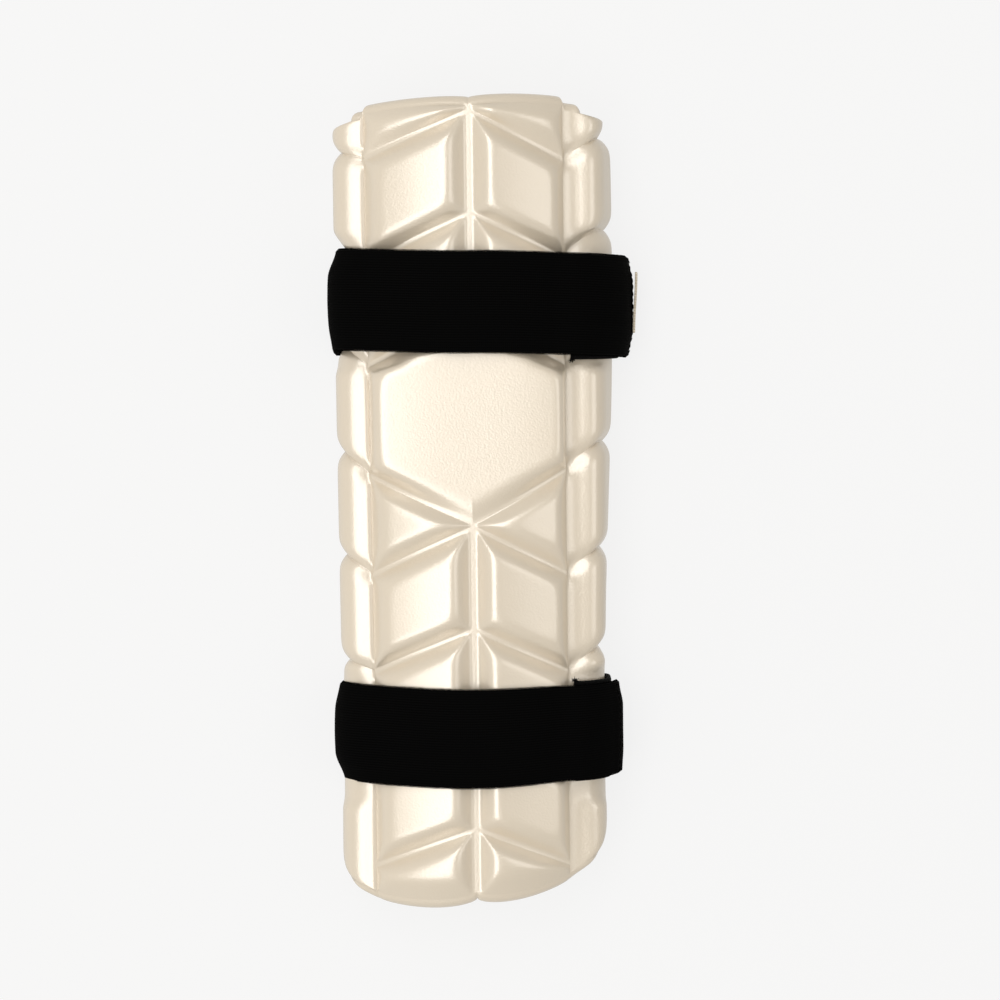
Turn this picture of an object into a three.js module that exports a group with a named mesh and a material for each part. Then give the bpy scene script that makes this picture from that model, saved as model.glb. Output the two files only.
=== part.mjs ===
// Cricket arm guard: a moulded foam shell that covers the outside of the forearm, held by two wide
// elastic straps with hook-and-loop ends. It lies on its back: X across, Y along the forearm with the
// elbow end at +Y, Z up, in millimetres. The origin is under the middle of the whole guard, at the
// surface that the straps lie on.
import * as THREE from "three";

// Moulded shell: overall sizes
const guardLength = 290;
const guardWidth = 100;
const guardHeight = 46;
const foamThickness = 12;
const faceAngle = THREE.MathUtils.degToRad(26);

// Moulded shell: its panels stand up from the grooves on bevels. cornerRounding is the power that joins
// two bevels at a corner, and bevelRound the share of a bevel that is rounded at its top.
const grooveDepth = 4.2;
const grooveFloor = 0.5;
const spineFloor = 1.4;
const crossBevel = 5;
const spineBevel = 5.5;
const outerBevel = { left: 6.4, right: 4.8 };
const padBevel = { left: 7.4, right: 10.3 };
const padCrossBevel = 3.6;
const notchRise = 1;
const cornerRounding = 4;
const bevelRound = 0.25;

// Moulded shell: the top panel is a ridge, whose crest is at a share of the way down it. The hexagon is
// flat where hexagonFlat is 1, and the other panels are flatter than the arch by facetFlat. No panel
// rises within clearReach of the upper strap's middle.
const crestShare = 0.42;
const leastRidge = 6;
const wristBevel = 7.5;
const hexagonRow = 3;
const hexagonFlat = 1;
const facetFlat = 0.3;
const clearRamp = 4;

// Moulded shell: its rim and ends
const edgeRound = 3.2;
const elbowReach = { left: 27, right: 25 };
const elbowCornerFill = 0.55;
const padCornerLength = 12;
const wristReach = 26;
const wristCornerLength = 15;
const riseReach = 18;

// Straps, tabs and patches
const strapWidth = 36;
const strapThickness = 1.8;
const tabThickness = 1.8;
const patchThickness = 1.6;
const layerGap = 0.4;
const faceGap = 0.4;
const strapBulge = 1.2;
const bendRadius = 5;
const sewnLength = 18;
const patchInset = 5;
const patchMargin = 1.5;
const overlapRamp = 8;
const rampMargin = 2.5;

// Badge on the end of the elbow-side strap
const badgeWidth = 22;
const badgeHeight = 10;
const badgeThickness = 1;
const badgeInset = 1.5;
const badgeLift = 1.5;

const rimHeight = tabThickness + layerGap;
const clearReach = strapWidth / 2 + 2;

// Outline along the guard. at is the share of guardLength from the elbow end. The half-widths and the
// places of the two long grooves are shares of guardWidth, the crown is a share of guardHeight.
const sections = [
  { at: 0.0, left: 0.486, right: 0.508, leftGroove: 0.395, rightGroove: 0.353, crown: 1.0 },
  { at: 0.15, left: 0.484, right: 0.515, leftGroove: 0.394, rightGroove: 0.353, crown: 1.0 },
  { at: 0.35, left: 0.484, right: 0.511, leftGroove: 0.388, rightGroove: 0.353, crown: 0.99 },
  { at: 0.55, left: 0.482, right: 0.489, leftGroove: 0.382, rightGroove: 0.353, crown: 0.97 },
  { at: 0.75, left: 0.478, right: 0.471, leftGroove: 0.378, rightGroove: 0.353, crown: 0.94 },
  { at: 1.0, left: 0.484, right: 0.476, leftGroove: 0.379, rightGroove: 0.353, crown: 0.91 },
];

// Lines across the face, as shares of guardLength from the elbow end: the height on the spine, the
// heights on the two long grooves, and how far each line climbs towards the elbow on the side pads.
// spine says that the spine groove runs below the line, side that the line also parts the side pads.
const lines = [
  { apex: 0.0076, left: 0.015, right: 0.0068, leftRise: 0, rightRise: 0, spine: true, side: true },
  { apex: 0.0235, left: 0.0804, right: 0.0854, leftRise: 0.008, rightRise: 0.027, spine: true, side: true },
  { apex: 0.1485, left: 0.2116, right: 0.2054, leftRise: 0.022, rightRise: 0.034, spine: true, side: true },
  { apex: 0.276, left: 0.3361, right: 0.3361, leftRise: 0.024, rightRise: 0.03, spine: false, side: true },
  { apex: 0.532, left: 0.4715, right: 0.4666, leftRise: 0.03, rightRise: 0.033, spine: true, side: true },
  { apex: 0.536, left: 0.5953, right: 0.5953, leftRise: 0.026, rightRise: 0.03, spine: true, side: true },
  { apex: 0.6621, left: 0.7153, right: 0.7166, leftRise: 0.014, rightRise: 0.028, spine: true, side: true },
  { apex: 0.7859, left: 0.8416, right: 0.8416, leftRise: 0.018, rightRise: 0.026, spine: true, side: true },
  { apex: 0.9097, left: 0.9567, right: 0.9567, leftRise: 0.02, rightRise: 0.026, spine: true, side: false },
  { apex: 0.9975, left: 1.0, right: 0.98, leftRise: 0.024, rightRise: 0.032, spine: false, side: true },
];
const elbowBow = 0.0041 * guardLength;
const wristBow = 0.011 * guardLength;

// Strap places: centre line on the spine as a share of guardLength. width and the shifts are shares of
// strapWidth: the shifts say how far the strap moves towards the elbow at its left side, its right side
// and its back, and how far its tab does.
// freeEnd is the length past the long groove, and flare how far its tip stands off.
const straps = [
  {
    name: "upper",
    at: 0.2585,
    width: 1,
    leftShift: 0.036,
    rightShift: -0.07,
    backShift: -0.02,
    tabShift: -0.06,
    freeEnd: 0.41 * guardWidth,
    flare: 0.4 * strapThickness,
    badge: true,
  },
  {
    name: "lower",
    at: 0.797,
    width: 0.975,
    leftShift: 0.05,
    rightShift: 0.06,
    backShift: 0.02,
    tabShift: 0.01,
    freeEnd: 0.205 * guardWidth,
    flare: 0,
    badge: false,
  },
];

// Shares at which the mesh has a line: across the face from the spine to the long groove, across a side
// pad from there to the rim, and down a panel from one cross line to the next
const faceShares = [0, 0.037, 0.11, 0.19, 0.48, 0.76, 0.88, 1];
const padShares = [0, 0.08, 0.16, 0.25, 0.45, 0.68, 0.87, 1];
const panelShares = [0, 0.02, 0.1, 0.2, 0.5, 0.8, 0.9, 0.98];
const innerEvery = 2;
// Lines across a band, and the number of steps along each stretch of it
const acrossBand = [-0.5, 0, 0.5];
const sewnSteps = 5;
const bendSteps = 5;
const sideSteps = 20;
const tabSteps = 8;
const pieceSteps = 6;
const bulgeStart = 0.8;
const sideMiddle = 0.7;
const flareStart = 0.3;

const shellColour = new THREE.MeshStandardMaterial({ color: 0xe6dac6, roughness: 0.38, metalness: 0 });
const elasticColour = new THREE.MeshStandardMaterial({ color: 0x0b0b0c, roughness: 0.85, metalness: 0 });
const loopColour = new THREE.MeshStandardMaterial({ color: 0x101011, roughness: 0.95, metalness: 0 });
const hookColour = new THREE.MeshStandardMaterial({ color: 0x0d0d0e, roughness: 0.6, metalness: 0 });
const badgeColour = new THREE.MeshStandardMaterial({ color: 0xd8cfbf, roughness: 0.7, metalness: 0 });

function mix(a, b, t) {
  return a + (b - a) * t;
}

function clamp01(x) {
  return Math.min(1, Math.max(0, x));
}

function smooth(x) {
  const t = clamp01(x);
  return t * t * (3 - 2 * t);
}

// A quarter of a circle from 0 to 1, steep at first
function quarterRound(x) {
  const t = clamp01(x);
  return Math.sqrt(1 - (1 - t) * (1 - t));
}

function shareAlong(y) {
  return 0.5 - y / guardLength;
}

function placeAlong(share) {
  return (0.5 - share) * guardLength;
}

// A column of the sections table at one place along the guard, as a smooth curve through its rows
function sectionValue(key, y) {
  const share = clamp01(shareAlong(y));
  let i = 0;
  while (i < sections.length - 2 && share > sections[i + 1].at) i++;
  const before = sections[Math.max(0, i - 1)];
  const a = sections[i];
  const b = sections[i + 1];
  const after = sections[Math.min(sections.length - 1, i + 2)];
  const span = b.at - a.at;
  const t = (share - a.at) / span;
  const slopeA = ((b[key] - before[key]) / (b.at - before.at)) * span;
  const slopeB = ((after[key] - a[key]) / (after.at - a.at)) * span;
  const t2 = t * t;
  const t3 = t2 * t;
  return (
    (2 * t3 - 3 * t2 + 1) * a[key] +
    (t3 - 2 * t2 + t) * slopeA +
    (3 * t2 - 2 * t3) * b[key] +
    (t3 - t2) * slopeB
  );
}

// The outer envelope of one side at one place along the guard: a shallow arc over the face, a tighter
// arc over the side pad, then a straight wall down to the rim.
function envelope(side, y) {
  const halfWidth = sectionValue(side, y) * guardWidth;
  const groove = sectionValue(side + "Groove", y) * guardWidth;
  const crown = sectionValue("crown", y) * guardHeight + rimHeight;
  const faceRadius = groove / Math.sin(faceAngle);
  const padRadius = (halfWidth - groove) / (1 - Math.sin(faceAngle));
  const faceArc = faceRadius * faceAngle;
  const padArc = padRadius * (Math.PI / 2 - faceAngle);
  const grooveHeight = crown - faceRadius * (1 - Math.cos(faceAngle));
  const wallTop = grooveHeight - padRadius * Math.cos(faceAngle);
  const sign = side === "left" ? -1 : 1;
  // The point at a given distance along the envelope from the spine, sunk or raised along its normal
  const point = (distance, raise = 0) => {
    let x;
    let z;
    let angle;
    if (distance <= faceArc) {
      angle = distance / faceRadius;
      x = faceRadius * Math.sin(angle);
      z = crown - faceRadius * (1 - Math.cos(angle));
    } else if (distance <= faceArc + padArc) {
      angle = faceAngle + (distance - faceArc) / padRadius;
      x = halfWidth - padRadius * (1 - Math.sin(angle));
      z = wallTop + padRadius * Math.cos(angle);
    } else {
      angle = Math.PI / 2;
      x = halfWidth;
      z = wallTop - (distance - faceArc - padArc);
    }
    return { x: sign * (x + raise * Math.sin(angle)), z: z + raise * Math.cos(angle) };
  };
  const rimDistance = faceArc + padArc + wallTop - rimHeight - edgeRound;
  return { point, faceArc, faceRadius, padArc, rimDistance, wallTop, halfWidth, sign };
}

// Height along the guard of one of the lines at a share of the face, 0 on the spine and 1 on the groove
function faceLine(index, side, share) {
  const line = lines[index];
  const straight = placeAlong(mix(line.apex, line[side], share));
  const bow = Math.sin(Math.PI * share ** 0.8) ** 0.7;
  if (index === 0) return straight + elbowBow * bow - edgeRound;
  if (index === lines.length - 1) return straight - wristBow * bow + edgeRound;
  return straight;
}

// Height of one of the lines on a side pad, at a distance outwards from the long groove
function padLine(index, side, reach) {
  const climb = Math.sin((Math.PI / 2) * Math.min(1, reach / riseReach));
  return faceLine(index, side, 1) + lines[index][side + "Rise"] * guardLength * climb;
}

// How far the shell reaches outwards from the long groove: short at the rounded elbow pads, full along
// the side pads, and cut back at the rounded wrist corners.
function padReach(side, row, t, y, fullReach) {
  const elbowPad = elbowReach[side] * mix(quarterRound(t), 1, elbowCornerFill);
  const belowElbowPad = faceLine(1, side, 1) - y;
  const sidePad = mix(elbowReach[side], fullReach, quarterRound(belowElbowPad / padCornerLength));
  const wristShare = clamp01((y - faceLine(lines.length - 1, side, 1)) / wristCornerLength);
  const wristPad = mix(wristReach, fullReach, Math.sin((Math.PI / 2) * wristShare));
  return Math.min(row === 0 ? elbowPad : sidePad, wristPad);
}

// How far up a bevel a point is that lies at a distance from the middle of its groove
function bevelShare(distance, floor, bevel) {
  return (distance - floor) / bevel;
}

// Height of a panel above the groove floor, as a share of grooveDepth, from its shares of the bevels
// round it. They are joined so that the panel's corners are rounded.
function panelHeight(shares) {
  const sum = shares.reduce((total, share) => total + Math.max(share, 0.001) ** -cornerRounding, 0);
  const joined = sum ** (-1 / cornerRounding);
  if (joined >= 1 + bevelRound) return 1;
  if (joined <= 1 - bevelRound) return joined;
  return joined - (joined - 1 + bevelRound) ** 2 / (4 * bevelRound);
}

// Distance to a line that crosses the face at a slope
function slopedDistance(difference, index, side, width) {
  const line = lines[index];
  const rise = ((line[side] - line.apex) * guardLength) / width;
  return Math.abs(difference) / Math.hypot(1, rise);
}

// The lines that bound a side pad in a given row
function padBounds(row) {
  let above = row;
  while (!lines[above].side) above--;
  let below = row + 1;
  while (!lines[below].side) below++;
  return [above, below];
}

// How far a panel's top stands off the envelope at a share of the face
function facetLift(row, shape, share, y) {
  let lift;
  if (row === hexagonRow) {
    const drop = shape.faceRadius * (1 - Math.cos(share * faceAngle));
    const meanGroove = ((sectionValue("leftGroove", y) + sectionValue("rightGroove", y)) / 2) * guardWidth;
    const meanDrop = ((meanGroove / Math.sin(faceAngle)) * (1 - Math.cos(faceAngle))) / 3;
    lift = hexagonFlat * (drop - meanDrop);
  } else {
    const sag = shape.faceRadius * (1 - Math.cos(faceAngle / 2));
    lift = facetFlat * sag * (2 / 3 - 4 * share * (1 - share));
  }
  const belowStrap = placeAlong(straps[0].at) - y - clearReach;
  return lift > 0 ? lift * smooth(belowStrap / clearRamp) : lift;
}

// One cross line of the shell: a closed ring through the outer face and back along the inner face
function shellRing(row, t, endShift, outerSink, innerLift) {
  const outer = { left: [], right: [] };
  const inner = { left: [], right: [] };
  const rims = { left: [], right: [] };
  for (const side of ["left", "right"]) {
    const grooveY = mix(faceLine(row, side, 1), faceLine(row + 1, side, 1), t);
    const atGroove = envelope(side, grooveY);
    const fullReach = atGroove.rimDistance - atGroove.faceArc;
    const reach = padReach(side, row, t, grooveY, fullReach);
    const [above, below] = padBounds(row);
    const stations = [
      ...faceShares.map((share) => ({ face: true, u: share })),
      ...padShares.slice(1).map((share) => ({ face: false, u: share })),
    ];
    stations.forEach((station, index) => {
      let y;
      let distance;
      let height;
      if (station.face) {
        const top = faceLine(row, side, station.u);
        const bottom = faceLine(row + 1, side, station.u);
        y = mix(top, bottom, t);
        const shape = envelope(side, y);
        distance = station.u * shape.faceArc;
        const fromTop = slopedDistance(top - y, row, side, shape.faceArc);
        const fromBottom = slopedDistance(y - bottom, row + 1, side, shape.faceArc);
        const whole = Math.max(slopedDistance(top - bottom, row + 1, side, shape.faceArc), leastRidge);
        const isTop = row === 0;
        const isBottom = row === lines.length - 2;
        const topBevel = isTop ? crestShare * whole : crossBevel;
        const ridgeBevel = isTop ? (1 - crestShare) * whole : crossBevel;
        const bottomBevel = isBottom ? wristBevel : ridgeBevel;
        const shares = [
          bevelShare(fromTop, isTop ? 0 : grooveFloor, topBevel),
          bevelShare(fromBottom, isBottom ? 0 : grooveFloor, bottomBevel),
          bevelShare(shape.faceArc - distance, 0, outerBevel[side]),
        ];
        if (lines[row].spine) shares.push(bevelShare(distance, spineFloor, spineBevel));
        height = (grooveDepth + facetLift(row, shape, station.u, y)) * panelHeight(shares);
      } else {
        const out = station.u * reach;
        y = mix(padLine(row, side, out), padLine(row + 1, side, out), t);
        const shape = envelope(side, y);
        distance = shape.faceArc + out;
        const rise = notchRise * smooth(out / padBevel[side]);
        height = grooveDepth * panelHeight([
          bevelShare(padLine(above, side, out) - y + rise, 0, padCrossBevel),
          bevelShare(y - padLine(below, side, out) + rise, 0, padCrossBevel),
          bevelShare(out, 0, padBevel[side]),
          bevelShare(reach - out, 0, crossBevel),
        ]);
      }
      const shape = envelope(side, y);
      const sink = height - grooveDepth - outerSink;
      const place = shape.point(distance, sink);
      outer[side].push(new THREE.Vector3(place.x, y + endShift, place.z));
      const isRim = index === stations.length - 1;
      if (!station.face || index % innerEvery === 0) {
        const under = shape.point(distance, -foamThickness + innerLift);
        inner[side].push(new THREE.Vector3(under.x, y + endShift, under.z));
      }
      if (isRim) {
        const middle = (grooveDepth + foamThickness + outerSink - innerLift) / 2;
        const half = (foamThickness - innerLift - grooveDepth - outerSink) / 2;
        for (const turn of [-1, 0, 1]) {
          const angle = (turn * Math.PI) / 4;
          const out = distance + edgeRound * Math.cos(angle) * rimFullness(half);
          const past = shape.point(out, -middle - half * Math.sin(angle));
          rims[side].push(new THREE.Vector3(past.x, y + endShift, past.z));
        }
      }
    });
  }
  return [
    ...outer.left.reverse(),
    ...outer.right.slice(1),
    ...rims.right,
    ...inner.right.reverse(),
    ...inner.left.slice(1),
    ...rims.left.reverse(),
  ];
}

// The rim's bull nose is full where the edge has its whole thickness
function rimFullness(half) {
  return half / ((foamThickness - grooveDepth) / 2);
}

// A closed solid through rings with as many points each; its first and last rings are filled
function loft(rings) {
  const count = rings[0].length;
  const positions = rings.flat().flatMap((p) => [p.x, p.y, p.z]);
  const faces = [];
  for (let r = 0; r + 1 < rings.length; r++) {
    for (let i = 0; i < count; i++) {
      const a = r * count + i;
      const b = r * count + ((i + 1) % count);
      faces.push(a, b, b + count, a, b + count, a + count);
    }
  }
  for (const isLast of [false, true]) {
    const ring = isLast ? rings.at(-1) : rings[0];
    const start = isLast ? (rings.length - 1) * count : 0;
    const [across, up] = capAxes(ring);
    const contour = ring.map((p) => new THREE.Vector2(p.dot(across), p.dot(up)));
    const turn = THREE.ShapeUtils.isClockWise(contour);
    for (const face of THREE.ShapeUtils.triangulateShape(contour, [])) {
      const follows = THREE.ShapeUtils.isClockWise(face.map((i) => contour[i])) === turn;
      const corners = face.map((i) => start + i);
      faces.push(...(follows === isLast ? corners : corners.reverse()));
    }
  }
  const geometry = new THREE.BufferGeometry();
  geometry.setAttribute("position", new THREE.Float32BufferAttribute(positions, 3));
  geometry.setIndex(faces);
  if (signedVolume(geometry) < 0) {
    for (let i = 0; i < faces.length; i += 3) [faces[i + 1], faces[i + 2]] = [faces[i + 2], faces[i + 1]];
    geometry.setIndex(faces);
  }
  geometry.computeVertexNormals();
  return geometry;
}

// Two directions that span a ring's own plane
function capAxes(ring) {
  const normal = new THREE.Vector3();
  ring.forEach((p, i) => normal.add(new THREE.Vector3().crossVectors(p, ring[(i + 1) % ring.length])));
  normal.normalize();
  const first = new THREE.Vector3(Math.abs(normal.x) < 0.9 ? 1 : 0, Math.abs(normal.x) < 0.9 ? 0 : 1, 0);
  first.addScaledVector(normal, -first.dot(normal)).normalize();
  return [first, new THREE.Vector3().crossVectors(normal, first)];
}

function signedVolume(geometry) {
  const at = geometry.getAttribute("position");
  const index = geometry.getIndex().array;
  const [a, b, c] = [new THREE.Vector3(), new THREE.Vector3(), new THREE.Vector3()];
  let sum = 0;
  for (let i = 0; i < index.length; i += 3) {
    a.fromBufferAttribute(at, index[i]);
    b.fromBufferAttribute(at, index[i + 1]);
    c.fromBufferAttribute(at, index[i + 2]);
    sum += a.dot(b.cross(c)) / 6;
  }
  return sum;
}

function mouldedShell() {
  const rings = [];
  const half = (foamThickness - grooveDepth) / 2;
  // Rounded ends: each ring nearer the tip is thinner
  const tips = [
    { shift: edgeRound, sink: half * 0.75 },
    { shift: edgeRound * 0.72, sink: half * 0.31 },
  ];
  for (const tip of tips) rings.push(shellRing(0, 0, tip.shift, tip.sink, tip.sink));
  for (let row = 0; row + 1 < lines.length; row++) {
    for (const t of panelShares) rings.push(shellRing(row, t, 0, 0, 0));
  }
  const last = lines.length - 2;
  rings.push(shellRing(last, 1, 0, 0, 0));
  for (const tip of [...tips].reverse()) rings.push(shellRing(last, 1, -tip.shift, tip.sink, tip.sink));
  return loft(rings);
}

// Values at evenly spaced shares from 0 to 1
function spaced(steps, valueAt) {
  return Array.from({ length: steps + 1 }, (_, i) => valueAt(i / steps));
}

// A band from its routes: one route for each line across it, each a list of inner and outer points
function band(routeAt) {
  const routes = acrossBand.map(routeAt);
  const rings = routes[0].map((_, i) => [
    ...routes.map((route) => route[i].inner),
    ...routes.map((route) => route[i].outer).reverse(),
  ]);
  return loft(rings);
}

// A stretch of a band's route in the plane across the guard. The face that looks away from the bend's
// centre has the outer radius.
function bendRoute(y, centreX, centreZ, innerRadius, outerRadius, fromDegrees, toDegrees) {
  return spaced(bendSteps, (t) => {
    const angle = THREE.MathUtils.degToRad(mix(fromDegrees, toDegrees, t));
    const at = (radius) =>
      new THREE.Vector3(centreX + radius * Math.cos(angle), y, centreZ + radius * Math.sin(angle));
    return { inner: at(innerRadius), outer: at(outerRadius) };
  });
}

// One station of a band's route that follows the envelope
function onShell(side, y, distanceOf, innerRaise, thickness) {
  const shape = envelope(side, y);
  const distance = distanceOf(shape);
  const raise = innerRaise(shape, distance);
  const at = (height) => {
    const place = shape.point(distance, height);
    return new THREE.Vector3(place.x, y, place.z);
  };
  return { inner: at(raise), outer: at(raise + thickness) };
}

// The distance at which the envelope's wall is at a given height
function wallDistance(shape, z) {
  return shape.faceArc + shape.padArc + shape.wallTop - z;
}

// The sewn end of a strap or tab, from its top down the inside of the right wall. raise is the height
// of its outer face, and thickness is counted inwards from there.
function sewnRoute(y, raise, thickness, bottom) {
  return spaced(sewnSteps, (t) =>
    onShell(
      "right",
      y,
      (shape) => wallDistance(shape, bottom) - sewnLength * (1 - t),
      () => raise,
      -thickness,
    ),
  );
}

function sideBulge(across, shape, distance) {
  const onSide = smooth((distance - bulgeStart * shape.faceArc) / (shape.faceArc * (1 - bulgeStart) * 2));
  return strapBulge * (1 - 4 * across * across) * onSide;
}

// How far the overlapping end of a strap stands off the shell, over its tab and hook patch
function overlapRaise(strap, shape, distance) {
  const stack = tabThickness + patchThickness + 2 * layerGap;
  const start = shape.faceArc - overlapRamp;
  const ramp = smooth((distance - start) / (overlapRamp + patchInset - rampMargin));
  const past = (distance - shape.faceArc) / strap.freeEnd;
  const flare = strap.flare * smooth((past - flareStart) / (1 - flareStart));
  return faceGap + stack * ramp + flare;
}

function overlapShift(strap, shape, distance) {
  return strap.rightShift * smooth(distance / (shape.faceArc + strap.freeEnd));
}

// The elastic strap, from its sewn end inside the right wall: down the wall, flat under the guard,
// round the left side, over the face, and over its tab on the right, where its free end points down.
function strapRoute(strap, across) {
  const centre = placeAlong(strap.at);
  const lineAt = (shift) => centre + (across * strap.width + shift) * strapWidth;
  const backLine = lineAt(strap.backShift);
  const leftShell = envelope("left", backLine);
  const rightShell = envelope("right", backLine);
  const outerBend = bendRadius + strapThickness;
  const sewnRaise = -foamThickness - 2 * layerGap - tabThickness;
  const leftFace = leftShell.halfWidth + faceGap + strapBulge * (1 - 4 * across * across) + strapThickness;
  const sewn = sewnRoute(backLine, sewnRaise, strapThickness, outerBend).map(({ inner, outer }) => ({
    inner: outer,
    outer: inner,
  }));
  const bendCentre = rightShell.halfWidth + sewnRaise - outerBend;
  const rightBend = bendRoute(backLine, bendCentre, outerBend, bendRadius, outerBend, 0, -90);
  const leftBend = bendRoute(backLine, outerBend - leftFace, outerBend, bendRadius, outerBend, -90, -180);
  const climb = spaced(sideSteps, (t) => {
    const share = 1 - t;
    const shift =
      share < sideMiddle
        ? strap.leftShift * smooth(share / sideMiddle)
        : mix(strap.leftShift, strap.backShift, smooth((share - sideMiddle) / (1 - sideMiddle)));
    return onShell(
      "left",
      lineAt(shift),
      (shape) => share * wallDistance(shape, outerBend),
      (shape, distance) => faceGap + sideBulge(across, shape, distance),
      strapThickness,
    );
  });
  const overlap = spaced(sideSteps, (t) => {
    const shift = strap.rightShift * smooth(t);
    return onShell(
      "right",
      lineAt(shift),
      (shape) => t * (shape.faceArc + strap.freeEnd),
      (shape, distance) => overlapRaise(strap, shape, distance),
      strapThickness,
    );
  });
  return [...sewn.slice(0, -1), ...rightBend, ...leftBend, ...climb.slice(1, -1), ...overlap];
}

// The tab that the strap closes on: sewn inside the right wall, round the rim, and up over the side pad
// to the long groove.
function tabRoute(strap, across) {
  const line = placeAlong(strap.at) + (across + strap.tabShift) * strapWidth;
  const shell = envelope("right", line);
  const sewnRaise = -foamThickness - layerGap;
  const wallFace = shell.halfWidth + sewnRaise;
  const innerBend = edgeRound + layerGap;
  const sewn = sewnRoute(line, sewnRaise, tabThickness, tabThickness + innerBend);
  const outside = shell.halfWidth + faceGap - bendRadius;
  const insideBend = bendRoute(
    line,
    wallFace + innerBend,
    tabThickness + innerBend,
    innerBend,
    innerBend + tabThickness,
    180,
    270,
  );
  const outsideBend = bendRoute(
    line,
    outside,
    tabThickness + bendRadius,
    bendRadius,
    bendRadius + tabThickness,
    270,
    360,
  );
  const climb = spaced(tabSteps, (t) =>
    onShell(
      "right",
      line,
      (shape) => mix(wallDistance(shape, bendRadius + tabThickness), shape.faceArc, t),
      () => faceGap,
      tabThickness,
    ),
  );
  return [...sewn.slice(0, -1), ...insideBend, ...outsideBend, ...climb.slice(1)];
}

// A flat piece in the overlap, bent to the shell: the hook patch under the strap or the badge on it
function overlapPiece(strap, width, across, from, to, raise, thickness, moved) {
  const centre = placeAlong(strap.at) + moved;
  return spaced(pieceSteps, (t) => {
    const shell = envelope("right", centre);
    const distance = shell.faceArc + mix(from, to, t);
    const y = centre + overlapShift(strap, shell, distance) * strapWidth + across * width;
    return onShell("right", y, (shape) => shape.faceArc + mix(from, to, t), raise, thickness);
  });
}

function addMesh(group, name, geometry, material) {
  const mesh = new THREE.Mesh(geometry, material);
  mesh.name = name;
  group.add(mesh);
}

const guard = new THREE.Group();
addMesh(guard, "moulded_shell", mouldedShell(), shellColour);
for (const strap of straps) {
  const patchWidth = strapWidth * strap.width - 2 * patchMargin;
  const patchEnd = strap.freeEnd - patchInset;
  const patchRaise = () => faceGap + tabThickness + layerGap;
  const patch = (across) =>
    overlapPiece(strap, patchWidth, across, patchInset, patchEnd, patchRaise, patchThickness, 0);
  addMesh(guard, strap.name + "_strap", band((across) => strapRoute(strap, across)), elasticColour);
  addMesh(guard, strap.name + "_tab", band((across) => tabRoute(strap, across)), loopColour);
  addMesh(guard, strap.name + "_hook_patch", band(patch), hookColour);
  if (strap.badge) {
    const badgeLayer = strapThickness + layerGap;
    const badgeRaise = (shape, distance) => overlapRaise(strap, shape, distance) + badgeLayer;
    const badge = (across) =>
      overlapPiece(
        strap,
        badgeWidth,
        across,
        strap.freeEnd - badgeHeight - badgeInset,
        strap.freeEnd - badgeInset,
        badgeRaise,
        badgeThickness,
        badgeLift,
      );
    addMesh(guard, "side_badge", band(badge), badgeColour);
  }
}

// The straps' overlap makes the guard wider on one side, so the whole is centred over the origin.
const box = new THREE.Box3().setFromObject(guard);
guard.position.set(-(box.min.x + box.max.x) / 2, -(box.min.y + box.max.y) / 2, 0);

export default guard;
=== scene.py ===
# Cricket arm guard, dressed for the render. It lies on its straps: X across, +Y towards the elbow end,
# Z up. Shapes are worked out in millimetres and become metres when a mesh is made.
import math

import bpy
import numpy as np
from mathutils import Matrix, Vector


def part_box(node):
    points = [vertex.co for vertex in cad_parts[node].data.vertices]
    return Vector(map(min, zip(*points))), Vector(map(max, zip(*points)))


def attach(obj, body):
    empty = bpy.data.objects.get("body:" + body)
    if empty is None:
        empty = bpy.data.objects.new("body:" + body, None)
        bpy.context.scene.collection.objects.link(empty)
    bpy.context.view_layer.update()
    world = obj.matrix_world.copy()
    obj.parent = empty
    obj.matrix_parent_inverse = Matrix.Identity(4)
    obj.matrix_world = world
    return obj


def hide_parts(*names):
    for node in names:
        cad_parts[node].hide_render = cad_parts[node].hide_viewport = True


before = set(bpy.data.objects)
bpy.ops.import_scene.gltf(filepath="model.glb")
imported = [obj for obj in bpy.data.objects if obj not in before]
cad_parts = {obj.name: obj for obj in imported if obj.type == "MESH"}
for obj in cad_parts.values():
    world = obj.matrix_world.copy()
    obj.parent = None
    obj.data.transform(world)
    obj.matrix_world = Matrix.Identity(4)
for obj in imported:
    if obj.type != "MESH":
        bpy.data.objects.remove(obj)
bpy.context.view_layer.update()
metresPerMm = 0.001
print("frame loaded:", ", ".join(sorted(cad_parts)))


# Small helpers

def mix(a, b, t):
    return a + (b - a) * t


def smooth(x):
    t = np.clip(x, 0, 1)
    return t * t * (3 - 2 * t)


# A quarter of a circle from 0 to 1, steep at first
def quarterRound(x):
    t = np.clip(x, 0, 1)
    return np.sqrt(1 - (1 - t) ** 2)


# An sRGB hex colour as the linear values that the nodes take
def linear(code):
    shares = [int(code[i:i + 2], 16) / 255 for i in (1, 3, 5)]
    return [s / 12.92 if s <= 0.04045 else ((s + 0.055) / 1.055) ** 2.4 for s in shares] + [1.0]


# Adds a node, sets its options, and fills its inputs with values or links. A node given as an input
# stands for its first output.
def addNode(tree, kind, inputs=None, **options):
    node = tree.nodes.new(kind)
    for name, value in options.items():
        setattr(node, name, value)
    for key, value in (inputs or {}).items():
        if isinstance(value, bpy.types.Node):
            value = value.outputs[0]
        if isinstance(value, bpy.types.NodeSocket):
            tree.links.new(value, node.inputs[key])
        else:
            node.inputs[key].default_value = value
    return node


def newMaterial(name):
    material = bpy.data.materials.new(name)
    material.use_nodes = True
    tree = material.node_tree
    tree.nodes.clear()
    return material, tree


# Links a finished shader to the material's output
def finishMaterial(tree, shader):
    addNode(tree, "ShaderNodeOutputMaterial", {"Surface": shader})


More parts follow.
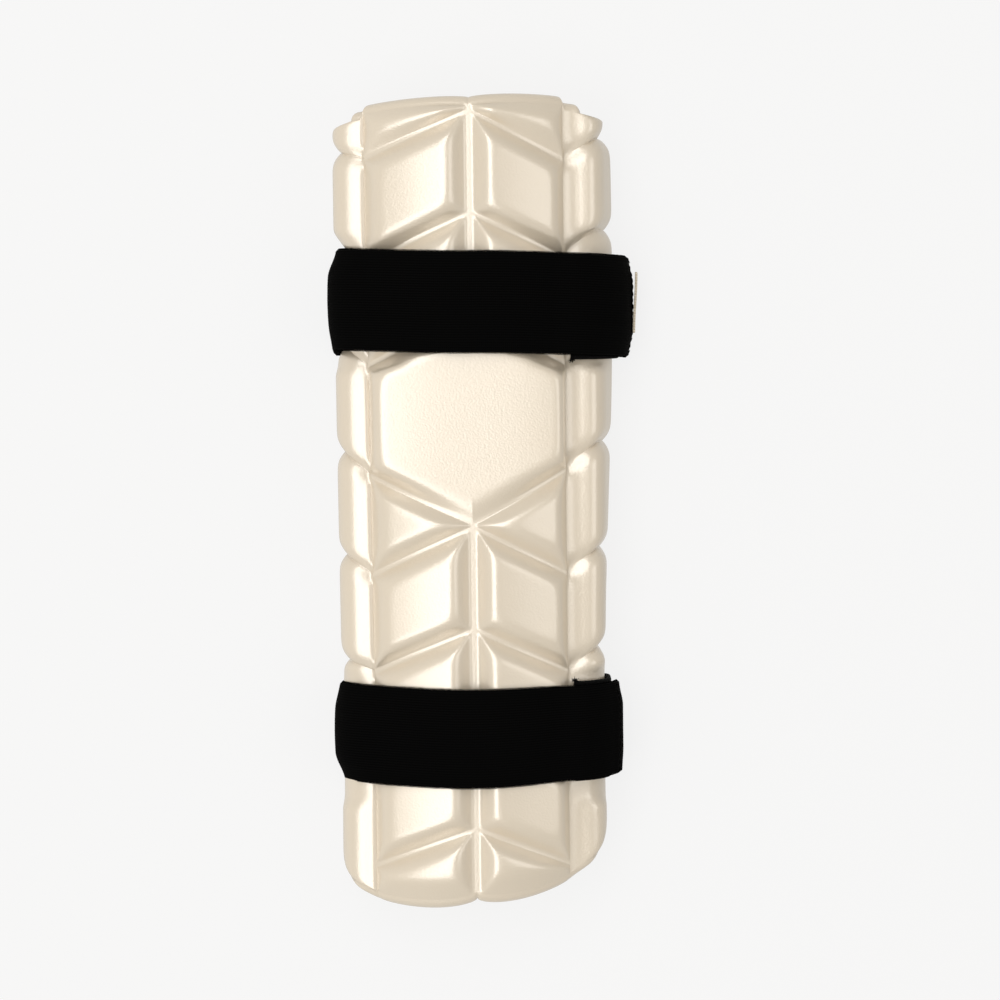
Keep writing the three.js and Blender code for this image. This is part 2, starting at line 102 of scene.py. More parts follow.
# Finishes a material with a bump whose depth is in millimetres, a colour between two, and other values
def finishSurface(tree, height, strength, depth, factor, colours, values):
    bump = addNode(tree, "ShaderNodeBump", {
        "Height": height,
        "Strength": strength,
        "Distance": depth * metresPerMm,
    })
    tint = addNode(tree, "ShaderNodeMix", {
        "Factor": factor,
        "A": linear(colours[0]),
        "B": linear(colours[1]),
    }, data_type="RGBA")
    finishMaterial(tree, addNode(tree, "ShaderNodeBsdfPrincipled", {
        "Base Color": tint.outputs["Result"],
        "Normal": bump,
        **values,
    }))


# A mesh object from points in millimetres, with an optional UV map in millimetres along and across
def makePiece(name, points, faces, materials, faceMaterials=None, uv=None):
    mesh = bpy.data.meshes.new(name)
    mesh.from_pydata((np.asarray(points) * metresPerMm).tolist(), [], faces)
    for material in materials:
        mesh.materials.append(material)
    if faceMaterials is not None:
        mesh.polygons.foreach_set("material_index", faceMaterials)
    if uv is not None:
        layer = mesh.uv_layers.new(name="cloth")
        corners = np.empty(len(mesh.loops), dtype=np.int32)
        mesh.loops.foreach_get("vertex_index", corners)
        layer.data.foreach_set("uv", np.asarray(uv, dtype=np.float32)[corners].ravel())
    mesh.polygons.foreach_set("use_smooth", [True] * len(mesh.polygons))
    mesh.update()
    mesh.validate()
    piece = bpy.data.objects.new(name, mesh)
    bpy.context.scene.collection.objects.link(piece)
    return piece


# Quads between the rings of a tube
def tubeFaces(ringCount, pointCount):
    faces = []
    for r in range(ringCount - 1):
        for i in range(pointCount):
            j = (i + 1) % pointCount
            a = r * pointCount
            faces.append((a + i, a + j, a + j + pointCount, a + i + pointCount))
    return faces


# Turns a closed mesh's faces outwards
def faceOutwards(piece):
    mesh = piece.data
    mesh.calc_loop_triangles()
    places = np.empty(len(mesh.vertices) * 3)
    mesh.vertices.foreach_get("co", places)
    places = places.reshape(-1, 3)
    triangles = np.empty(len(mesh.loop_triangles) * 3, dtype=np.int32)
    mesh.loop_triangles.foreach_get("vertices", triangles)
    a, b, c = (places[triangles.reshape(-1, 3)[:, i]] for i in range(3))
    if np.einsum("ij,ij->i", a, np.cross(b, c)).sum() < 0:
        mesh.flip_normals()


# Camera, floor and lights

studio = {
    "cameraPlace": (6.0, 72.0, 1730.0),
    "cameraAim": (6.0, 0.5, 30.0),
    "cameraRoll": 0.64,
    "focalPixels": 4729.6,
    "picturePixels": 1000,
    "sensorWidth": 36,
    "floorSize": 6000,
    "cardColour": "#5C5C5C",
    "glowColour": "#F7F7F7",
    "glow": 0.88,
    "airColour": "#FFFBF4",
    "airLeft": 0.8,
    "airRight": 0.5,
}

# Soft boxes that face the guard. tilt is the direction from straight up, to the right where positive,
# and lean the direction towards the elbow end, both in degrees. Distance and sizes are in metres.
softBoxes = [
    {"name": "main", "tilt": -14, "lean": 3, "distance": 1.3, "width": 1.8, "height": 0.6, "power": 8.0},
    {"name": "fill", "tilt": 36, "lean": 3, "distance": 1.35, "width": 0.7, "height": 0.55, "power": 1.2},
]


def makeCamera():
    place = Vector(studio["cameraPlace"])
    aim = Vector(studio["cameraAim"])
    roll = math.radians(studio["cameraRoll"])
    forward = (aim - place).normalized()
    right = forward.cross(Vector((math.sin(roll), math.cos(roll), 0))).normalized()
    up = right.cross(forward)
    camera = bpy.data.cameras.new("camera")
    camera.sensor_width = studio["sensorWidth"]
    camera.lens = studio["focalPixels"] / studio["picturePixels"] * studio["sensorWidth"]
    camera.clip_end = 50
    item = bpy.data.objects.new("camera", camera)
    turn = Matrix((right, up, -forward)).transposed().to_4x4()
    item.matrix_world = Matrix.Translation(place * metresPerMm) @ turn
    bpy.context.scene.collection.objects.link(item)
    bpy.context.scene.camera = item


# A pale card under the guard. It glows, so that shadows on it stay as light as in the photo, and the
# guard's skin doesn't mirror it.
def makeFloor():
    half = studio["floorSize"] / 2
    corners = [(-half, -half, 0), (half, -half, 0), (half, half, 0), (-half, half, 0)]
    material, tree = newMaterial("pale studio card")
    card = addNode(tree, "ShaderNodeBsdfPrincipled", {
        "Base Color": linear(studio["cardColour"]),
        "Roughness": 0.9,
        "Specular IOR Level": 0.0,
        "Emission Color": linear(studio["glowColour"]),
        "Emission Strength": studio["glow"],
    })
    finishMaterial(tree, card)
    floor = makePiece("floor", corners, [(0, 1, 2, 3)], [material])
    floor.visible_glossy = False


def makeSoftBox(box):
    light = bpy.data.lights.new(box["name"] + " soft box", "AREA")
    light.shape = "RECTANGLE"
    light.size = box["width"]
    light.size_y = box["height"]
    light.energy = box["power"]
    item = bpy.data.objects.new(light.name, light)
    side = math.radians(box["tilt"])
    along = math.radians(box["lean"])
    across = math.cos(along)
    direction = Vector((math.sin(side) * across, math.sin(along), math.cos(side) * across))
    item.location = direction * box["distance"]
    item.rotation_euler = direction.to_track_quat("Z", "Y").to_euler()
    bpy.context.scene.collection.objects.link(item)


# Even studio light, brighter from the left than from the right
def makeWorld():
    world = bpy.data.worlds.new("studio")
    world.use_nodes = True
    tree = world.node_tree
    tree.nodes.clear()
    direction = addNode(tree, "ShaderNodeTexCoord").outputs["Generated"]
    parts = addNode(tree, "ShaderNodeSeparateXYZ", {"Vector": direction})
    strength = addNode(tree, "ShaderNodeMapRange", {
        "Value": parts.outputs["X"],
        "From Min": -1.0,
        "From Max": 1.0,
        "To Min": studio["airLeft"],
        "To Max": studio["airRight"],
    })
    light = addNode(tree, "ShaderNodeBackground", {
        "Color": linear(studio["airColour"]),
        "Strength": strength,
    })
    addNode(tree, "ShaderNodeOutputWorld", {"Surface": light})
    bpy.context.scene.world = world


makeCamera()
makeFloor()
makeWorld()
for box in softBoxes:
    makeSoftBox(box)
bpy.context.scene.view_settings.view_transform = "Standard"
print("studio made")


# Moulded shell: the same form as the CAD node, at the finest detail. Lengths are in millimetres. Where a
# value has two parts, -1 is the left side and 1 the right one.

shell = {
    "length": 290,
    "width": 100,
    "height": 46,
    "foam": 12,
    "rimHeight": 2.2,
    "faceAngle": math.radians(26),
    "edgeRound": 3.2,
    # Grooves and the panels between them
    "grooveDepth": 4.2,
    "grooveFloor": 0.5,
    "grooveFillet": 0.1,
    "spineFloor": 1.4,
    "crossBevel": 5,
    "spineBevel": 5.5,
    "outerBevel": {-1: 6.4, 1: 4.8},
    "bevelRound": 0.34,
    "cornerRounding": 4,
    "hexagonRow": 3,
    "facetFlat": 0.5,
    "flatBelow": 50,
    "flatRamp": 4,
    # The ridge at the elbow end and the rounded wrist end
    "crestShare": 0.42,
    "crestRound": 0.5,
    "crestRounding": 2.4,
    "leastRidge": 6,
    "wristBevel": 7.5,
    "elbowBow": 0.0041,
    "wristBow": 0.011,
    "bowLean": 0.8,
    "bowPower": 0.7,
    # Side pads: how they climb from the long groove, swell, and end
    "padBevel": {-1: 9.4, 1: 10.4},
    "padHollow": {-1: 1.2, 1: 1.9},
    "padCrown": {-1: 2.1, 1: 2.6},
    "padStep": {-1: 0.14, 1: 0.0},
    "stepReach": 1.0,
    "crownReach": 24,
    "strapClear": 21.5,
    "strapRamp": 5,
    "padCrossBevel": 6.5,
    "padEndBevel": 9.5,
    "padEndReach": 17,
    "padEndFull": 1.25,
    "notchRise": 1,
    "valleyDepth": 1.4,
    "valleyWidth": 3.2,
    "riseReach": 18,
    "wristClimb": 1.2,
    # Short pads at the elbow end, and the corners at both ends
    "earBevel": 6,
    "earEndBevel": 9,
    "earNotch": 1.8,
    "earNotchReach": 1.5,
    "elbowReach": {-1: 26.5, 1: 24},
    "elbowCornerFill": {-1: 0.26, 1: 0.36},
    "elbowCornerShare": {-1: 0.45, 1: 0.3},
    "padCornerLength": 12,
    "wristReach": 23,
    "wristCornerLength": 15,
    # Mesh: points across a face and a pad, round a rim, and rings along a row, with how much they
    # gather at the grooves
    "faceColumns": 34,
    "padColumns": 25,
    "rimPoints": 9,
    "rimTurn": 78,
    "rowRings": 33,
    "facePull": 0.8,
    "padPull": 0.75,
    "rowPull": 0.85,
    "tipTurns": (86, 74, 60, 45, 30, 15),
}

# Centre lines of the straps on the spine, as shares of the length
strapPlaces = {"upper": 0.2585, "lower": 0.797}

# Outline along the guard: at is the share of the length from the elbow end, the half-widths and the
# places of the long grooves are shares of the width, and the crown is a share of the height.
sectionColumns = ("at", "left", "right", "leftGroove", "rightGroove", "crown")
sections = [dict(zip(sectionColumns, row)) for row in (
    (0.0, 0.486, 0.508, 0.395, 0.353, 1.0),
    (0.15, 0.484, 0.515, 0.394, 0.353, 1.0),
    (0.35, 0.484, 0.511, 0.388, 0.353, 0.99),
    (0.55, 0.482, 0.489, 0.382, 0.353, 0.97),
    (0.75, 0.478, 0.471, 0.378, 0.353, 0.94),
    (1.0, 0.484, 0.476, 0.379, 0.353, 0.91),
)]

# Lines across the face as shares of the length from the elbow end: on the spine, on the two long
# grooves, and how far they climb on the side pads. spine: the spine groove runs below the line.
# side: the line also parts the side pads.
lineColumns = ("apex", "left", "right", "leftRise", "rightRise", "spine", "side")
crossLines = [dict(zip(lineColumns, row)) for row in (
    (0.0076, 0.015, 0.0068, -0.005, -0.006, True, True),
    (0.0235, 0.0804, 0.0854, 0.008, 0.027, True, True),
    (0.1485, 0.2116, 0.2054, 0.022, 0.034, True, True),
    (0.276, 0.3361, 0.3361, 0.024, 0.03, False, True),
    (0.532, 0.4715, 0.4666, 0.03, 0.033, True, True),
    (0.536, 0.5953, 0.5953, 0.026, 0.03, True, True),
    (0.6621, 0.7153, 0.7166, 0.014, 0.028, True, True),
    (0.7859, 0.8416, 0.8416, 0.018, 0.026, True, True),
    (0.9097, 0.9567, 0.9567, 0.026, 0.04, True, False),
    (0.9975, 1.0, 0.98, 0.03, 0.043, False, True),
)]
lastLine = len(crossLines) - 1
sideNames = {-1: "left", 1: "right"}


def placeAlong(share):
    return (0.5 - share) * shell["length"]


# A column of the sections at places along the guard, as a smooth curve through its rows
def sectionValue(key, y):
    ats = np.array([row["at"] for row in sections])
    values = np.array([row[key] for row in sections])
    share = np.clip(0.5 - np.asarray(y, dtype=float) / shell["length"], 0, 1)
    i = np.clip(np.searchsorted(ats, share, side="left") - 1, 0, len(ats) - 2)
    before = np.maximum(i - 1, 0)
    after = np.minimum(i + 2, len(ats) - 1)
    span = ats[i + 1] - ats[i]
    t = (share - ats[i]) / span
    slopeA = (values[i + 1] - values[before]) / (ats[i + 1] - ats[before]) * span
    slopeB = (values[after] - values[i]) / (ats[after] - ats[i]) * span
    t2 = t * t
    t3 = t2 * t
    return (
        (2 * t3 - 3 * t2 + 1) * values[i]
        + (t3 - 2 * t2 + t) * slopeA
        + (3 * t2 - 2 * t3) * values[i + 1]
        + (t3 - t2) * slopeB
    )


# The outer envelope of one side: a shallow arc over the face, a tighter one over the side pad, and a
# straight wall down to the rim
class Envelope:
    def __init__(self, side, y):
        name = sideNames[side]
        self.side = side
        self.angle = shell["faceAngle"]
        self.halfWidth = sectionValue(name, y) * shell["width"]
        groove = sectionValue(name + "Groove", y) * shell["width"]
        self.crown = sectionValue("crown", y) * shell["height"] + shell["rimHeight"]
        self.faceRadius = groove / math.sin(self.angle)
        self.padRadius = (self.halfWidth - groove) / (1 - math.sin(self.angle))
        self.faceArc = self.faceRadius * self.angle
        self.padArc = self.padRadius * (math.pi / 2 - self.angle)
        drop = self.faceRadius * (1 - math.cos(self.angle)) + self.padRadius * math.cos(self.angle)
        self.wallTop = self.crown - drop
        toFloor = self.faceArc + self.padArc + self.wallTop
        self.rimDistance = toFloor - shell["rimHeight"] - shell["edgeRound"]

    # x and z at a distance from the spine, raised along the envelope's normal
    def point(self, distance, raised):
        onFace = distance <= self.faceArc
        onWall = distance > self.faceArc + self.padArc
        faceTurn = distance / self.faceRadius
        padTurn = self.angle + (distance - self.faceArc) / self.padRadius
        turn = np.where(onFace, faceTurn, np.where(onWall, math.pi / 2, padTurn))
        faceX = self.faceRadius * np.sin(turn)
        faceZ = self.crown - self.faceRadius * (1 - np.cos(turn))
        padX = self.halfWidth - self.padRadius * (1 - np.sin(turn))
        padZ = self.wallTop + self.padRadius * np.cos(turn)
        wallZ = self.wallTop - (distance - self.faceArc - self.padArc)
        x = np.where(onFace, faceX, padX)
        z = np.where(onFace, faceZ, np.where(onWall, wallZ, padZ))
        return self.side * (x + raised * np.sin(turn)), z + raised * np.cos(turn)

    # The same as an array of points, with their places along the guard
    def points(self, distance, raised, y):
        x, z = self.point(distance, raised)
        return np.stack([x, y, z], 2)

    # The distance at which the wall is at a height
    def wallDistance(self, z):
        return self.faceArc + self.padArc + self.wallTop - z


# Place of a cross line on the face, at a share of the way from the spine to the long groove
def faceLine(index, side, share):
    line = crossLines[index]
    straight = placeAlong(mix(line["apex"], line[sideNames[side]], share))
    bow = np.sin(np.pi * np.asarray(share, dtype=float) ** shell["bowLean"]) ** shell["bowPower"]
    if index == 0:
        return straight + shell["elbowBow"] * shell["length"] * bow - shell["edgeRound"]
    if index == lastLine:
        return straight - shell["wristBow"] * shell["length"] * bow + shell["edgeRound"]
    return straight


# Place of a cross line on a side pad, at a distance out from the long groove
def padLine(index, side, out):
    share = np.minimum(1, out / shell["riseReach"])
    climb = share ** shell["wristClimb"] if index == lastLine else np.sin(np.pi / 2 * share)
    rise = crossLines[index][sideNames[side] + "Rise"] * shell["length"]
    notch = shell["earNotch"] * smooth(out / shell["earNotchReach"]) if index == 0 else 0
    return faceLine(index, side, 1.0) + rise * climb - notch


# How far the shell reaches outwards from the long groove at a place beside a panel row
def padReach(side, row, t, y, fullReach):
    widening = np.sin(np.pi / 2 * np.clip(t / shell["elbowCornerShare"][side], 0, 1))
    elbowPad = shell["elbowReach"][side] * mix(widening, 1, shell["elbowCornerFill"][side])
    below = (faceLine(1, side, 1.0) - y) / shell["padCornerLength"]
    sidePad = mix(shell["elbowReach"][side], fullReach, quarterRound(below))
    above = (y - faceLine(lastLine, side, 1.0)) / shell["wristCornerLength"]
    wristPad = mix(shell["wristReach"], fullReach, quarterRound(above))
    return np.minimum(elbowPad if row == 0 else sidePad, wristPad)


# Height of a panel as a share of its full height, from its shares of the bevels round it. soft is how
# rounded the top of a bevel is, and a high rounding makes sharp corners.
def panelHeight(shares, soft, rounding):
    joined = sum(np.maximum(share, 0.001) ** -rounding for share in shares) ** (-1 / rounding)
    rounded = joined - (joined - 1 + soft) ** 2 / (4 * soft)
    return np.where(joined >= 1 + soft, 1, np.where(joined <= 1 - soft, joined, rounded))


# The share of a bevel, with the groove's floor rounded
def filleted(share):
    fillet = shell["grooveFillet"]
    share = np.maximum(share, 0)
    return np.sqrt(share ** 2 + fillet ** 2) - fillet * np.maximum(1 - share, 0)


# Distance from a sloping cross line, from the difference along the guard
def slopedDistance(difference, index, side, width):
    line = crossLines[index]
    rise = (line[sideNames[side]] - line["apex"]) * shell["length"] / width
    return np.abs(difference) / np.hypot(1, rise)


# The lines that bound the side pad beside a panel row
def padBounds(row):
    above = row
    while not crossLines[above]["side"]:
        above -= 1
    below = row + 1
    while not crossLines[below]["side"]:
        below += 1
    return above, below


# How far a panel's top stands off the envelope: the hexagon is flat, and the other panels are flatter
# than the arch. Nothing rises from the upper strap to the elbow end.
def flattened(row, shape, share, y):
    if row == shell["hexagonRow"]:
        drop = shape.faceRadius * (1 - np.cos(share * shape.angle))
        grooves = (sectionValue("leftGroove", y) + sectionValue("rightGroove", y)) / 2 * shell["width"]
        lift = drop - grooves / math.sin(shape.angle) * (1 - math.cos(shape.angle)) / 3
    else:
        sag = shape.faceRadius * (1 - math.cos(shape.angle / 2))
        lift = shell["facetFlat"] * sag * (2 / 3 - 4 * share * (1 - share))
    clear = smooth((shell["flatBelow"] - y) / shell["flatRamp"])
    return np.where(lift > 0, lift * clear, lift)


# How far a side pad swells above the envelope: most at its crest, and not at all under the straps
def padSwell(side, out, y):
    crest = shell["padBevel"][side]
    falling = 1 - smooth((out - crest) / (shell["crownReach"] - crest))
    swell = shell["padCrown"][side] * smooth(out / crest) * falling
    for at in strapPlaces.values():
        swell = swell * smooth((np.abs(y - placeAlong(at)) - shell["strapClear"]) / shell["strapRamp"])
    return swell


# Shares from 0 to 1 that stand close together near both ends, where the grooves are
def gradedShares(count, pull):
    t = np.linspace(0, 1, count)
    return mix(t, 0.5 - 0.5 * np.cos(np.pi * t), pull)


# Height of a face panel over the groove's bottom. top and bottom are the places of its two cross lines.
def faceHeight(row, side, shape, share, y, top, bottom):
    isRidge = row == 0
    floor = shell["grooveFloor"]
    fromTop = slopedDistance(top - y, row, side, shape.faceArc)
    fromBottom = slopedDistance(y - bottom, row + 1, side, shape.faceArc)
    if isRidge:
        # The panel at the elbow end has two slopes that meet at a crest
        whole = np.maximum(slopedDistance(top - bottom, 1, side, shape.faceArc), shell["leastRidge"])
        topShare = fromTop / (shell["crestShare"] * whole)
        bottomShare = filleted((fromBottom - floor) / ((1 - shell["crestShare"]) * whole))
    else:
        topShare = filleted((fromTop - floor) / shell["crossBevel"])
        if row + 1 == lastLine:
            bottomShare = fromBottom / shell["wristBevel"]
        else:
            bottomShare = filleted((fromBottom - floor) / shell["crossBevel"])
    distance = share * shape.faceArc
    shares = [topShare, bottomShare, (shape.faceArc - distance) / shell["outerBevel"][side]]
    if crossLines[row]["spine"]:
        shares.append(filleted((distance - shell["spineFloor"]) / shell["spineBevel"]))
    soft = shell["crestRound"] if isRidge else shell["bevelRound"]
    rounding = shell["crestRounding"] if isRidge else shell["cornerRounding"]
    return panelHeight(shares, soft, rounding) * (shell["grooveDepth"] + flattened(row, shape, share, y))


# Height of a side pad over the groove's bottom, at distances out from the long groove
def padHeight(row, side, out, y, reach):
    above, below = padBounds(row)
    fromAbove = padLine(above, side, out) - y
    fromBelow = y - padLine(below, side, out)
    rise = shell["notchRise"] * smooth(out / shell["padBevel"][side])
    # The pads' ends are rounder the further out they are
    growth = smooth(out / shell["padEndReach"])
    if row == 0:
        endBevel = mix(shell["earBevel"], shell["earEndBevel"], growth)
    else:
        endBevel = mix(shell["padCrossBevel"], shell["padEndBevel"], growth)
    step = shell["padStep"][side] * smooth(out / shell["stepReach"])
    climb = step + (1 - step) * (out / shell["padBevel"][side]) ** shell["padHollow"][side]
    height = panelHeight([
        shell["padEndFull"] * quarterRound((fromAbove + rise) / endBevel),
        shell["padEndFull"] * quarterRound((fromBelow + rise) / endBevel),
        climb,
        (reach - out) / shell["crossBevel"],
    ], shell["bevelRound"], shell["cornerRounding"])
    # A soft valley runs down between two side pads
    valley = 0
    if above > 0:
        valley = valley + np.exp(-(fromAbove / shell["valleyWidth"]) ** 2)
    if below < lastLine:
        valley = valley + np.exp(-(fromBelow / shell["valleyWidth"]) ** 2)
    valley = shell["valleyDepth"] * smooth(out / shell["stepReach"]) * valley
    return (shell["grooveDepth"] + padSwell(side, out, y)) * height - valley


# The rounded rim past the end of a side pad
def rimPoints(side, y, distance, shift, thinned):
    middle = (shell["grooveDepth"] + shell["foam"]) / 2
    fullHalf = (shell["foam"] - shell["grooveDepth"]) / 2
    half = fullHalf - thinned
    turn = np.radians(np.linspace(-shell["rimTurn"], shell["rimTurn"], shell["rimPoints"]))[None, :]
    past = distance + shell["edgeRound"] * np.cos(turn) * half / fullHalf
    x, z = Envelope(side, y).point(past, -middle - half * np.sin(turn))
    return np.stack([x, np.broadcast_to(y + shift, x.shape), z], 2)


# Rings round the shell, at shares of the way down one panel row. At a rounded end they are shifted along
# the guard and thinned from both faces.
def rowRings(row, shares, shift=0.0, thinned=0.0):
    t = np.atleast_1d(shares)[:, None]
    face = gradedShares(shell["faceColumns"], shell["facePull"])[None, :]
    pads = gradedShares(shell["padColumns"] + 1, shell["padPull"])[None, 1:]
    outerDrop = shell["grooveDepth"] + thinned
    innerDrop = shell["foam"] - thinned
    sides = {}
    for side in (-1, 1):
        top = faceLine(row, side, face)
        bottom = faceLine(row + 1, side, face)
        y = mix(top, bottom, t)
        shape = Envelope(side, y)
        distance = face * shape.faceArc
        height = faceHeight(row, side, shape, face, y, top, bottom)
        outerFace = shape.points(distance, height - outerDrop, y + shift)
        innerFace = shape.points(distance, -innerDrop, y + shift)

        grooveY = mix(faceLine(row, side, 1.0), faceLine(row + 1, side, 1.0), t)
        edge = Envelope(side, grooveY)
        reach = padReach(side, row, t, grooveY, edge.rimDistance - edge.faceArc)
        out = pads * reach
        y = mix(padLine(row, side, out), padLine(row + 1, side, out), t)
        shape = Envelope(side, y)
        distance = shape.faceArc + out
        height = padHeight(row, side, out, y, reach)
        outerPad = shape.points(distance, height - outerDrop, y + shift)
        innerPad = shape.points(distance, -innerDrop, y + shift)
        sides[side] = {
            "outer": np.concatenate([outerFace, outerPad], 1),
            "inner": np.concatenate([innerFace, innerPad], 1),
            "rim": rimPoints(side, y[:, -1:], distance[:, -1:], shift, thinned),
        }
    left, right = sides[-1], sides[1]
    return np.concatenate([
        left["outer"][:, ::-1],
        right["outer"][:, 1:],
        right["rim"],
        right["inner"][:, ::-1],
        left["inner"][:, 1:],
        left["rim"][:, ::-1],
    ], 1)


# The shell's points and faces, and a 1 for each face on the inside
def makeShell():
    half = (shell["foam"] - shell["grooveDepth"]) / 2
    turns = np.radians(shell["tipTurns"])
    tips = [(shell["edgeRound"] * math.sin(a), half * (1 - math.cos(a))) for a in turns]
    shares = gradedShares(shell["rowRings"], shell["rowPull"])
    lastRow = lastLine - 1
    rings = [rowRings(0, 0.0, shift, thinned) for shift, thinned in tips]
    rings += [rowRings(row, shares[:-1]) for row in range(lastLine)]
    rings.append(rowRings(lastRow, 1.0))
    rings += [rowRings(lastRow, 1.0, -shift, thinned) for shift, thinned in reversed(tips)]
    rings = np.concatenate(rings, 0)

    ringCount, pointCount = rings.shape[:2]
    outerCount = 2 * (shell["faceColumns"] + shell["padColumns"]) - 1
    firstInner = outerCount + shell["rimPoints"]
    lastInner = firstInner + outerCount - 1
    faces = tubeFaces(ringCount, pointCount)
    zones = [int(firstInner <= face[0] % pointCount < lastInner) for face in faces]
    for base in (0, (ringCount - 1) * pointCount):
        inner = base + lastInner
        cap = [(base + i, base + i + 1, inner - 1 - i, inner - i) for i in range(outerCount - 1)]
        cap.append(tuple(range(base + outerCount - 1, base + firstInner + 1)))
        cap.append((*range(inner, base + pointCount), base))
        # The cap on the first ring looks the other way
        faces += cap if base else [face[::-1] for face in cap]
        zones += [0] * len(cap)
    return rings.reshape(-1, 3), faces, zones, pointCount


# Pearl polyurethane skin over moulded EVA foam: a cream lacquer with fine mica. The mica gives a broad
# warm shine, a little metallic, under a clear coat. The skin's pores are 0.3 mm, drawn at 0.77 mm so that
# they show, and its tint drifts over patches of 17 mm.
def makePearlSkin():
    material, tree = newMaterial("pearl polyurethane skin")
    place = addNode(tree, "ShaderNodeTexCoord").outputs["Object"]
    cloud = addNode(tree, "ShaderNodeTexNoise", {
        "Vector": place,
        "Scale": 1 / (16.7 * metresPerMm),
        "Detail": 3,
    })
    pores = addNode(tree, "ShaderNodeTexNoise", {
        "Vector": place,
        "Scale": 1 / (0.77 * metresPerMm),
        "Detail": 1,
        "Roughness": 0.4,
    })
    finishSurface(tree, pores, 0.6, 0.12, cloud, ("#E0D2BD", "#DCD0BC"), {
        "Metallic": 0.2,
        "Roughness": 0.32,
        "IOR": 1.9,
        "Coat Weight": 1.0,
        "Coat Roughness": 0.24,
        "Coat IOR": 1.95,
    })
    return material


# Bare moulded EVA foam inside the hollow: matte, with cells of 1.1 mm
def makeFoamBack():
    material, tree = newMaterial("bare EVA foam")
    place = addNode(tree, "ShaderNodeTexCoord").outputs["Object"]
    cells = addNode(tree, "ShaderNodeTexVoronoi", {"Vector": place, "Scale": 1 / (1.1 * metresPerMm)})
    bump = addNode(tree, "ShaderNodeBump", {
        "Height": cells,
        "Strength": 0.3,
        "Distance": 0.2 * metresPerMm,
    })
    foam = addNode(tree, "ShaderNodeBsdfPrincipled", {
        "Base Color": linear("#DCD1BE"),
        "Roughness": 0.85,
        "Specular IOR Level": 0.3,
        "Normal": bump,
    })
    finishMaterial(tree, foam)
    return material


shellMaterials = [makePearlSkin(), makeFoamBack()]
shellPoints, shellFaces, shellZones, pointsRound = makeShell()

# The CAD node says where the shell lies: the mesh is centred on that node's box
nodeLow, nodeHigh = (np.array(corner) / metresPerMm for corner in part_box("moulded_shell"))
shellShift = (nodeLow + nodeHigh) / 2 - (shellPoints.min(0) + shellPoints.max(0)) / 2
shellShift[2] = 0
shellPiece = makePiece(
    "shellMoulding", shellPoints + shellShift, shellFaces, shellMaterials, shellZones,
)
faceOutwards(shellPiece)

# The long grooves are sharp creases: columns of the outer face where the side pads begin
creases = {shell["padColumns"], shell["padColumns"] + 2 * shell["faceColumns"] - 2}
for edge in shellPiece.data.edges:
    a, b = edge.vertices
    if a % pointsRound == b % pointsRound and a % pointsRound in creases:
        edge.use_edge_sharp = True

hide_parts("moulded_shell")
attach(shellPiece, "root")
print("shell made:", len(shellPiece.data.polygons), "faces, shift", shellShift.round(2))

# Straps: black elastic webbing. Each is a closed band that follows a route of stations round the guard.

elastic = {
    "width": 36,
    "thickness": 1.8,
    "tabThickness": 1.8,
    "patchThickness": 1.6,
    "layerGap": 0.4,
    "faceGap": 0.4,
    "bulge": 1.2,
    "bendRadius": 5,
    "sewnLength": 18,
    "patchInset": 5,
    "patchMargin": 1.5,
    "overlapRamp": 8,
    "rampMargin": 2.5,
    "drawInReach": 10,
    "drawInRamp": 18,
    "flareFrom": 0.3,
    "bulgeFrom": 0.8,
    "bulgeRamp": 0.4,
    "backFrom": 0.7,
    "edgeRound": 0.9,
    "patchEdge": 0.5,
    "leastEdge": 0.12,
    "hemLength": 7,
    "hemRise": 0.35,
    "hemRamp": 0.9,
    "ribPitch": 0.9,
    "ribDepth": 0.12,
    "knitPitch": 0.7,
    "linesAcross": 121,
    "tapeLines": 31,
    "edgeLines": 4,
}

# width and the shifts are shares of the strap's width. freeEnd is the length past the long groove, flare
# how far its tip stands off, and dips how far the edges draw in: left top, left bottom, right top and
# right bottom. frayed says which edge of the tab has the frayed corner: 0 the elbow's, -1 the wrist's.
strapRows = [
    {
        "name": "upper", "width": 1.0, "leftShift": 0.036, "rightShift": -0.07, "backShift": -0.02,
        "tabShift": -0.085, "freeEnd": 41.0, "flare": 0.72, "dips": (2.2, 0.5, 1.5, 1.5), "endWidth": 1.0,
        "frayed": 0, "fraySeed": 12,
    },
    {
        "name": "lower", "width": 0.975, "leftShift": 0.05, "rightShift": 0.06, "backShift": 0.02,
        "tabShift": 0.05, "freeEnd": 20.5, "flare": 0.0, "dips": (1.0, 2.4, 1.4, 0.5), "endWidth": 0.94,
        "frayed": -1, "fraySeed": 11,
    },
]


# How many stations each stretch of a route has
stationCounts = {
    "sewn": 10, "bend": 9, "underBend": 11, "left": 50, "right": 60, "tab": 30, "overlap": 16,
}


def strapCentre(strap):
    return placeAlong(strapPlaces[strap["name"]])


def stationPoints(y, x, z):
    return np.stack([np.broadcast_to(x, y.shape), y, np.broadcast_to(z, y.shape)], 1)


# Inner and outer points of one station across a band, on the envelope. distance and raised are numbers
# or functions of the envelope there.
def onEnvelope(side, y, distance, raised, thickness):
    shape = Envelope(side, y)
    distance = distance(shape) if callable(distance) else distance
    raised = raised(shape, distance) if callable(raised) else raised
    return [stationPoints(y, *shape.point(distance, height)) for height in (raised, raised + thickness)]


# Stations round a bend: its centre across and up, its two radii, and the turn in degrees
def aroundBend(y, centre, radii, turn, steps):
    return [
        [stationPoints(y, centre[0] + r * math.cos(a), centre[1] + r * math.sin(a)) for r in radii]
        for a in np.radians(np.linspace(*turn, steps))
    ]


# How far the edges of a strap draw in towards the shell
def drawIn(across, top, bottom):
    fromEdge = (0.5 - np.abs(across)) * elastic["width"]
    depth = np.where(across > 0, top, bottom)
    return depth * (1 - smooth(fromEdge / elastic["drawInReach"]))


